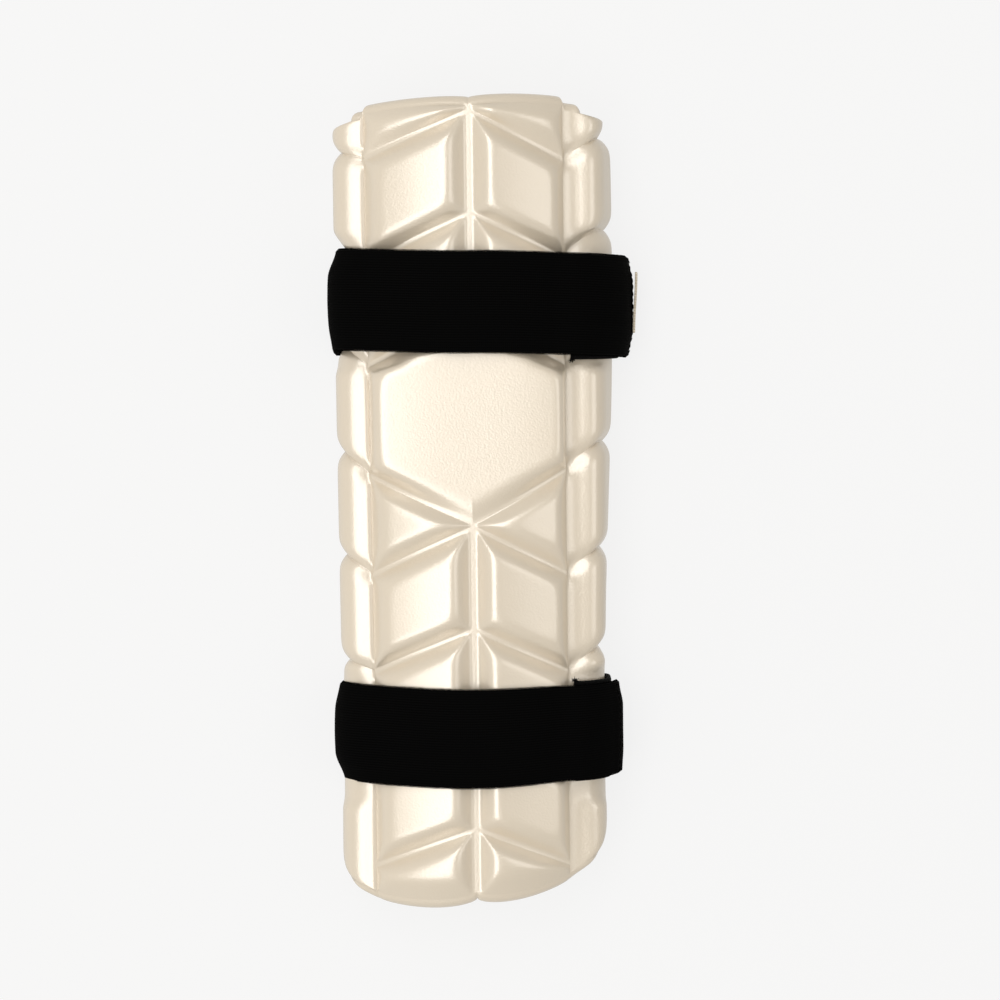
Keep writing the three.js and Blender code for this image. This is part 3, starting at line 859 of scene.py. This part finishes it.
# Stations down the inside of the right wall, where straps and tabs are sewn on
def sewnStations(y, raised, thickness, bottom):
    rises = elastic["sewnLength"] * (1 - np.linspace(0, 1, stationCounts["sewn"]))
    return [
        onEnvelope(1, y, lambda shape: shape.wallDistance(bottom) - rise, raised, -thickness)
        for rise in rises
    ]


# How far the strap stands off the shell where it lies over the tab and the hook patch
def overlapRaise(strap, shape, distance):
    stack = elastic["tabThickness"] + elastic["patchThickness"] + 2 * elastic["layerGap"]
    start = shape.faceArc - elastic["overlapRamp"]
    length = elastic["overlapRamp"] + elastic["patchInset"] - elastic["rampMargin"]
    past = (distance - shape.faceArc) / strap["freeEnd"]
    flare = strap["flare"] * smooth((past - elastic["flareFrom"]) / (1 - elastic["flareFrom"]))
    return elastic["faceGap"] + stack * smooth((distance - start) / length) + flare


# A strap's route: sewn inside the right wall, under the guard, up the left side, over the face, and down
# the right side to its free end
def strapStations(strap, across):
    centre = strapCentre(strap)

    def lineAt(shift):
        return centre + (across * strap["width"] + shift) * elastic["width"]

    thickness = elastic["thickness"]
    backLine = lineAt(strap["backShift"])
    leftShape = Envelope(-1, backLine)
    rightShape = Envelope(1, backLine)
    outerBend = elastic["bendRadius"] + thickness
    radii = (elastic["bendRadius"], outerBend)
    sewnRaise = -shell["foam"] - 2 * elastic["layerGap"] - elastic["tabThickness"]
    bulge = elastic["bulge"] * (1 - 4 * across ** 2) - drawIn(across, *strap["dips"][:2])
    leftFace = leftShape.halfWidth + elastic["faceGap"] + bulge + thickness
    sewn = [[outer, inner] for inner, outer in sewnStations(backLine, sewnRaise, thickness, outerBend)]
    stations = sewn[:-1]
    bendCentre = rightShape.halfWidth + sewnRaise - outerBend
    stations += aroundBend(backLine, (bendCentre, outerBend), radii, (0, -90), stationCounts["bend"])
    bendCentre = outerBend - leftFace
    stations += aroundBend(
        backLine, (bendCentre, outerBend), radii, (-90, -180), stationCounts["underBend"],
    )

    def leftRaise(shape, distance):
        start = elastic["bulgeFrom"] * shape.faceArc
        onSide = smooth((distance - start) / (shape.faceArc * elastic["bulgeRamp"]))
        return elastic["faceGap"] + bulge * onSide

    back = elastic["backFrom"]
    for t in np.linspace(0, 1, stationCounts["left"])[1:-1]:
        share = 1 - t
        if share < back:
            shift = strap["leftShift"] * smooth(share / back)
        else:
            shift = mix(strap["leftShift"], strap["backShift"], smooth((share - back) / (1 - back)))
        stations.append(onEnvelope(
            -1, lineAt(shift), lambda shape: share * shape.wallDistance(outerBend), leftRaise, thickness,
        ))
    dip = drawIn(across, *strap["dips"][2:])

    def rightRaise(shape, distance):
        onSide = smooth((distance - shape.faceArc) / elastic["drawInRamp"])
        return overlapRaise(strap, shape, distance) - dip * onSide

    end = rightShape.faceArc.mean() + strap["freeEnd"]
    for t in np.linspace(0, 1, stationCounts["right"]):
        rise = elastic["hemRise"] * smooth((t * end - end + elastic["hemLength"]) / elastic["hemRamp"])
        narrowed = across * strap["width"] * mix(1, strap["endWidth"], smooth(t))
        y = centre + (narrowed + strap["rightShift"] * smooth(t)) * elastic["width"]
        stations.append(onEnvelope(
            1, y, lambda shape: t * (shape.faceArc + strap["freeEnd"]), rightRaise, thickness + rise,
        ))
    return stations


# A tab's route: sewn inside the right wall, round the rim, and up the side to the long groove
def tabStations(strap, across):
    y = strapCentre(strap) + (across + strap["tabShift"]) * elastic["width"]
    shape = Envelope(1, y)
    thickness = elastic["tabThickness"]
    sewnRaise = -shell["foam"] - elastic["layerGap"]
    innerBend = shell["edgeRound"] + elastic["layerGap"]
    bottom = thickness + innerBend
    stations = sewnStations(y, sewnRaise, thickness, bottom)[:-1]
    wallFace = shape.halfWidth + sewnRaise
    bend = stationCounts["bend"]
    stations += aroundBend(y, (wallFace + innerBend, bottom), (innerBend, bottom), (180, 270), bend)
    radius = elastic["bendRadius"]
    outside = shape.halfWidth + elastic["faceGap"] - radius
    top = thickness + radius
    stations += aroundBend(y, (outside, top), (radius, top), (270, 360), bend)
    gap = elastic["faceGap"]
    for t in np.linspace(0, 1, stationCounts["tab"])[1:]:
        stations.append(onEnvelope(
            1, y, lambda shape: mix(shape.wallDistance(top), shape.faceArc, t), gap, thickness,
        ))
    return stations


# A flat piece bent to the shell in the overlap: the hook patch under the strap or the badge on it
def overlapStations(strap, across, width, begin, end, raised, thickness, moved):
    centre = strapCentre(strap) + moved
    faceArc = Envelope(1, centre).faceArc
    stations = []
    for past in mix(begin, end, np.linspace(0, 1, stationCounts["overlap"])):
        shift = strap["rightShift"] * smooth((faceArc + past) / (faceArc + strap["freeEnd"]))
        y = centre + shift * elastic["width"] + across * width
        stations.append(onEnvelope(1, y, lambda shape: shape.faceArc + past, raised, thickness))
    return stations


# Lines across a band, closer together at its edges
def linesAcross(count, width, edge):
    turn = np.linspace(0, math.pi / 2, elastic["edgeLines"] + 1)
    edges = 0.5 - edge / width * (1 - np.cos(turn))
    inside = np.linspace(edges[-1], -edges[-1], count)
    return np.concatenate([edges[:-1], inside, -edges[:-1][::-1]])[::-1]


# A closed band from its stations. Its edges are rounded, and ribs run along its outer face.
def makeBand(name, stations, across, width, materials, edge, ribDepth=0.0):
    inner = np.stack([s[0] for s in stations])
    outer = np.stack([s[1] for s in stations])
    into = np.clip(1 - (0.5 - np.abs(across)) * width / edge, 0, 1)
    fullness = np.maximum(np.sqrt(1 - into ** 2), elastic["leastEdge"])
    ribs = ribDepth * np.abs(np.sin(np.pi * across * width / elastic["ribPitch"])) * (into == 0)
    middle = (inner + outer) / 2
    half = (outer - inner) / 2
    thick = np.linalg.norm(half, axis=2, keepdims=True)
    outer = middle + half * (fullness[None, :, None] - ribs[None, :, None] / thick)
    inner = middle - half * fullness[None, :, None]
    rings = np.concatenate([inner, outer[:, ::-1]], 1)
    ringCount, pointCount = rings.shape[:2]
    faces = tubeFaces(ringCount, pointCount)
    count = len(across)
    for base in (0, (ringCount - 1) * pointCount):
        facing = base + pointCount - 1
        cap = [(base + i, base + i + 1, facing - 1 - i, facing - i) for i in range(count - 1)]
        faces += cap if base else [face[::-1] for face in cap]
    steps = np.linalg.norm(np.diff(middle[:, count // 2], axis=0), axis=1)
    along = np.concatenate([[0], np.cumsum(steps)])[:, None]
    places = np.concatenate([across, across[::-1]]) * width
    uv = np.stack([np.broadcast_to(along, rings.shape[:2]), np.broadcast_to(places, rings.shape[:2])], 2)
    piece = makePiece(name, rings.reshape(-1, 3) + shellShift, faces, materials, uv=uv.reshape(-1, 2))
    faceOutwards(piece)
    return piece, outer + shellShift


# Knitted black polyester elastic: matte and almost pure black, with fine ribs along it and knit rows 0.7
# mm apart across it. Its colour is painted a little lighter on the rib tops and darker between the ribs,
# a painted sheen and painted shade. The UVs are in millimetres.
def makeElastic():
    material, tree = newMaterial("black knitted elastic")
    place = addNode(tree, "ShaderNodeUVMap", uv_map="cloth")
    parts = addNode(tree, "ShaderNodeSeparateXYZ", {"Vector": place})
    ribs = addNode(tree, "ShaderNodeMath", {
        0: parts.outputs["Y"],
        1: math.pi / elastic["ribPitch"],
    }, operation="MULTIPLY")
    ribWave = addNode(tree, "ShaderNodeMath", {0: ribs}, operation="SINE")
    ribHeightAndPaintedSheen = addNode(tree, "ShaderNodeMath", {0: ribWave}, operation="ABSOLUTE")
    rows = addNode(tree, "ShaderNodeMath", {
        0: parts.outputs["X"],
        1: 2 * math.pi / elastic["knitPitch"],
    }, operation="MULTIPLY")
    rowWave = addNode(tree, "ShaderNodeMath", {0: rows}, operation="SINE")
    fuzz = addNode(tree, "ShaderNodeTexNoise", {"Vector": place, "Scale": 1.6, "Detail": 3})
    knit = addNode(tree, "ShaderNodeMath", {0: rowWave, 1: 0.22, 2: ribHeightAndPaintedSheen}, operation="MULTIPLY_ADD")
    height = addNode(tree, "ShaderNodeMath", {0: fuzz, 1: 0.5, 2: knit}, operation="MULTIPLY_ADD")
    # The rib height also sets the colour: painted sheen on the rib tops and painted shade in the troughs
    # between them
    finishSurface(tree, height, 0.5, 0.2, ribHeightAndPaintedSheen, ("#020202", "#080808"), {
        "Roughness": 0.95,
        "Specular IOR Level": 0.02,
    })
    return material


# Brushed nylon loop or hook tape: black, its pile broken up by cells at the pitch of its loops. Pitch and
# depth are in millimetres.
def makePile(name, pitch, depth):
    material, tree = newMaterial(name)
    place = addNode(tree, "ShaderNodeUVMap", uv_map="cloth")
    pile = addNode(tree, "ShaderNodeTexVoronoi", {"Vector": place, "Scale": 1 / pitch})
    finishSurface(tree, pile, 0.8, depth, pile, ("#0B0B0C", "#030303"), {
        "Roughness": 0.9,
        "Specular IOR Level": 0.1,
    })
    return material


# Woven polyester badge, left bare: fine weft in pale cream thread, drawn 1 mm apart so that it shows
def makeBadgeCloth():
    material, tree = newMaterial("bare woven badge cloth")
    place = addNode(tree, "ShaderNodeUVMap", uv_map="cloth")
    weave = addNode(tree, "ShaderNodeTexWave", {
        "Vector": place,
        "Scale": 0.32,
        "Distortion": 0.6,
    }, bands_direction="Y").outputs["Fac"]
    finishSurface(tree, weave, 0.4, 0.1, weave, ("#C3B8A4", "#D8CEBB"), {"Roughness": 0.7})
    return material


# The start of a node tree that follows paths, with named sizes in millimetres as its inputs
def newPathTree(name, sizes):
    tree = bpy.data.node_groups.new(name, "GeometryNodeTree")
    tree.interface.new_socket("Geometry", in_out="INPUT", socket_type="NodeSocketGeometry")
    for label, value in sizes.items():
        socket = tree.interface.new_socket(label, in_out="INPUT", socket_type="NodeSocketFloat")
        socket.default_value = value * metresPerMm
    tree.interface.new_socket("Material", in_out="INPUT", socket_type="NodeSocketMaterial")
    tree.interface.new_socket("Geometry", in_out="OUTPUT", socket_type="NodeSocketGeometry")
    start = addNode(tree, "NodeGroupInput")
    return tree, start


def finishPathTree(tree, start, geometry):
    real = addNode(tree, "GeometryNodeRealizeInstances", {"Geometry": geometry})
    finished = addNode(tree, "GeometryNodeSetMaterial", {
        "Geometry": real,
        "Material": start.outputs["Material"],
    })
    addNode(tree, "NodeGroupOutput", {"Geometry": finished})


# Rings or rods at even steps along paths, turned to the path and to its "face" direction
def makeRowTree(name, sizes, asRings, seed):
    tree, start = newPathTree(name, sizes)
    curve = addNode(tree, "GeometryNodeMeshToCurve", {"Mesh": start.outputs["Geometry"]})
    steps = addNode(tree, "GeometryNodeResampleCurve", {
        "Curve": curve,
        "Length": start.outputs["Step"],
    }, mode="LENGTH")
    thread = start.outputs["Thread"]
    if asRings:
        ring = addNode(tree, "GeometryNodeCurvePrimitiveCircle", {
            "Resolution": 8,
            "Radius": start.outputs["Size"],
        })
        section = addNode(tree, "GeometryNodeCurvePrimitiveCircle", {"Resolution": 5, "Radius": thread})
        shape = addNode(tree, "GeometryNodeCurveToMesh", {
            "Curve": ring,
            "Profile Curve": section,
        }).outputs["Mesh"]
    else:
        ball = addNode(tree, "GeometryNodeMeshUVSphere", {"Segments": 8, "Rings": 6, "Radius": 1.0})
        stretch = addNode(tree, "ShaderNodeCombineXYZ", {
            "X": start.outputs["Size"],
            "Y": thread,
            "Z": thread,
        })
        shape = addNode(tree, "GeometryNodeTransform", {
            "Geometry": ball,
            "Scale": stretch,
        }).outputs["Geometry"]
    face = addNode(tree, "GeometryNodeInputNamedAttribute", {"Name": "face"}, data_type="FLOAT_VECTOR")
    along = addNode(tree, "GeometryNodeInputTangent")
    upright = addNode(tree, "FunctionNodeAlignRotationToVector", {"Vector": face}, axis="Z")
    turned = addNode(tree, "FunctionNodeAlignRotationToVector", {
        "Rotation": upright,
        "Vector": along,
    }, axis="X", pivot_axis="Z")
    # Each is a little larger or smaller. Inputs 2 and 3 are the least and the most of a plain number.
    scale = addNode(tree, "FunctionNodeRandomValue", {2: 0.85, 3: 1.12, "Seed": seed}, data_type="FLOAT")
    placed = addNode(tree, "GeometryNodeInstanceOnPoints", {
        "Points": steps,
        "Instance": shape,
        "Rotation": turned,
        "Scale": scale.outputs[1],
    })
    finishPathTree(tree, start, placed)
    return tree


# Round threads along paths
def makeThreadTree(name, sizes):
    tree, start = newPathTree(name, sizes)
    curve = addNode(tree, "GeometryNodeMeshToCurve", {"Mesh": start.outputs["Geometry"]})
    section = addNode(tree, "GeometryNodeCurvePrimitiveCircle", {
        "Resolution": 5,
        "Radius": start.outputs["Thread"],
    })
    tube = addNode(tree, "GeometryNodeCurveToMesh", {
        "Curve": curve,
        "Profile Curve": section,
        "Fill Caps": True,
    })
    finishPathTree(tree, start, tube)
    return tree


# Runs a path tree over paths in millimetres, and keeps the result as a plain mesh
def growOnPaths(name, paths, faces, tree, material):
    edges = []
    first = 0
    for path in paths:
        edges += [(first + i, first + i + 1) for i in range(len(path) - 1)]
        first += len(path)
    mesh = bpy.data.meshes.new(name + "Paths")
    mesh.from_pydata((np.concatenate(paths) * metresPerMm).tolist(), edges, [])
    layer = mesh.attributes.new("face", "FLOAT_VECTOR", "POINT")
    layer.data.foreach_set("vector", np.concatenate(faces).astype(np.float32).ravel())
    source = bpy.data.objects.new(name + "Paths", mesh)
    bpy.context.scene.collection.objects.link(source)
    modifier = source.modifiers.new("grow", "NODES")
    modifier.node_group = tree
    for socket in tree.interface.items_tree:
        if socket.in_out == "INPUT" and socket.name == "Material":
            modifier[socket.identifier] = material
    grown = bpy.data.meshes.new_from_object(source.evaluated_get(bpy.context.evaluated_depsgraph_get()))
    grown.name = name
    bpy.data.objects.remove(source)
    grown.polygons.foreach_set("use_smooth", [True] * len(grown.polygons))
    piece = bpy.data.objects.new(name, grown)
    bpy.context.scene.collection.objects.link(piece)
    return piece


elasticCloth = makeElastic()
loopPile = makePile("black nylon loop tape", 0.5, 0.3)
hookPile = makePile("black nylon hook tape", 0.9, 0.5)
badgeCloth = makeBadgeCloth()

# Loops of thread along the elastic's edges, lock stitches, and frayed threads
edgeTree = makeRowTree("elastic edge loops", {"Step": 1.05, "Size": 0.42, "Thread": 0.17}, True, 4)
stitchTree = makeRowTree("lock stitches", {"Step": 2.3, "Size": 0.85, "Thread": 0.2}, False, 7)
threadTree = makeThreadTree("frayed threads", {"Thread": 0.09})
hemStitch = {"fromEnd": 5.5, "margin": 6}
fray = {"threads": 70, "length": 0.9, "bend": 0.5, "spread": 0.3}


# Directions out of a strap's face at the points of a line on it
def faceDirections(line, beside):
    along = np.gradient(line, axis=0)
    outward = np.cross(along, beside - line)
    return outward / np.linalg.norm(outward, axis=1, keepdims=True)


# A tuft of loose threads where a cut corner of the tab has frayed
def frayPaths(centre, seed):
    dice = np.random.default_rng(seed)
    share = np.linspace(0, 1, 5)[:, None]
    paths = []
    for number in range(fray["threads"]):
        heading = dice.normal(size=3)
        heading /= np.linalg.norm(heading)
        bend = dice.normal(size=3) * fray["bend"]
        length = fray["length"] * dice.uniform(0.5, 1)
        begin = centre + dice.normal(size=3) * fray["spread"]
        paths.append(begin + length * (share * heading + share ** 2 * bend))
    return paths


# The band of a strap with its edge loops, and a row of stitches across the hem of its free end
def makeStrap(strap, width):
    name = strap["name"]
    across = linesAcross(elastic["linesAcross"], width, elastic["edgeRound"])
    piece, face = makeBand(
        name + "Elastic", strapStations(strap, across), across, width, [elasticCloth],
        elastic["edgeRound"], elastic["ribDepth"],
    )
    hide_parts(name + "_strap")
    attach(piece, "root")

    edges = [face[:, 0], face[:, -1]]
    beside = [face[:, elastic["edgeLines"]], face[:, -1 - elastic["edgeLines"]]]
    outward = [faceDirections(*pair) for pair in zip(edges, beside)]
    loops = growOnPaths(name + "EdgeLoops", edges, outward, edgeTree, elasticCloth)
    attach(loops, "root")

    steps = np.linalg.norm(np.diff(face[:, len(across) // 2], axis=0), axis=1)
    toEnd = np.cumsum(steps[::-1])[::-1]
    row = int(np.argmin(np.abs(toEnd - hemStitch["fromEnd"])))
    hem, beyond = face[row:row + 2, hemStitch["margin"]:-hemStitch["margin"]]
    outward = [faceDirections(hem, beyond)]
    stitches = growOnPaths(name + "HemStitches", [hem], outward, stitchTree, elasticCloth)
    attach(stitches, "root")
    print(name, "strap made:", len(piece.data.polygons), "faces")


# The tab of loop tape that a strap closes on, with its frayed corner
def makeTab(strap):
    name = strap["name"]
    width = elastic["width"]
    edge = elastic["edgeRound"]
    across = linesAcross(elastic["tapeLines"], width, edge)
    tab, face = makeBand(name + "LoopTab", tabStations(strap, across), across, width, [loopPile], edge)
    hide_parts(name + "_tab")
    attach(tab, "root")
    paths = frayPaths(face[-1, strap["frayed"]], strap["fraySeed"])
    upwards = [np.tile((0, 0, 1.0), (len(path), 1)) for path in paths]
    tuft = growOnPaths(name + "FrayedCorner", paths, upwards, threadTree, loopPile)
    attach(tuft, "root")


# The patch of hook tape under a strap's free end
def makeHookPatch(strap, width):
    name = strap["name"]
    inset = elastic["patchInset"]
    edge = elastic["patchEdge"]
    across = linesAcross(elastic["tapeLines"], width, edge)
    raised = elastic["faceGap"] + elastic["tabThickness"] + elastic["layerGap"]
    stations = overlapStations(
        strap, across, width, inset, strap["freeEnd"] - inset, raised, elastic["patchThickness"], 0,
    )
    patch = makeBand(name + "HookPatch", stations, across, width, [hookPile], edge)[0]
    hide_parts(name + "_hook_patch")
    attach(patch, "root")


for strap in strapRows:
    strapWidth = elastic["width"] * strap["width"]
    makeStrap(strap, strapWidth)
    makeTab(strap)
    makeHookPatch(strap, strapWidth - 2 * elastic["patchMargin"])


# Badge: a bare woven label on the upper strap's free end. Its elbow side stands off a little.

badge = {
    "width": 22,
    "height": 10,
    "thickness": 0.8,
    "inset": 1.5,
    "shift": 1.5,
    "gap": 0.3,
    "lean": 0.9,
    "edge": 0.35,
    "lines": 21,
}


def makeBadge(strap):
    across = linesAcross(badge["lines"], badge["width"], badge["edge"])

    def raised(shape, distance):
        top = overlapRaise(strap, shape, distance) + elastic["thickness"]
        return top + badge["gap"] + badge["lean"] * smooth(across + 0.5)

    end = strap["freeEnd"] - badge["inset"]
    begin = end - badge["height"]
    stations = overlapStations(
        strap, across, badge["width"], begin, end, raised, badge["thickness"], badge["shift"],
    )
    piece = makeBand("sideBadge", stations, across, badge["width"], [badgeCloth], badge["edge"])[0]
    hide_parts("side_badge")
    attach(piece, "root")
    print("badge made")


makeBadge(strapRows[0])
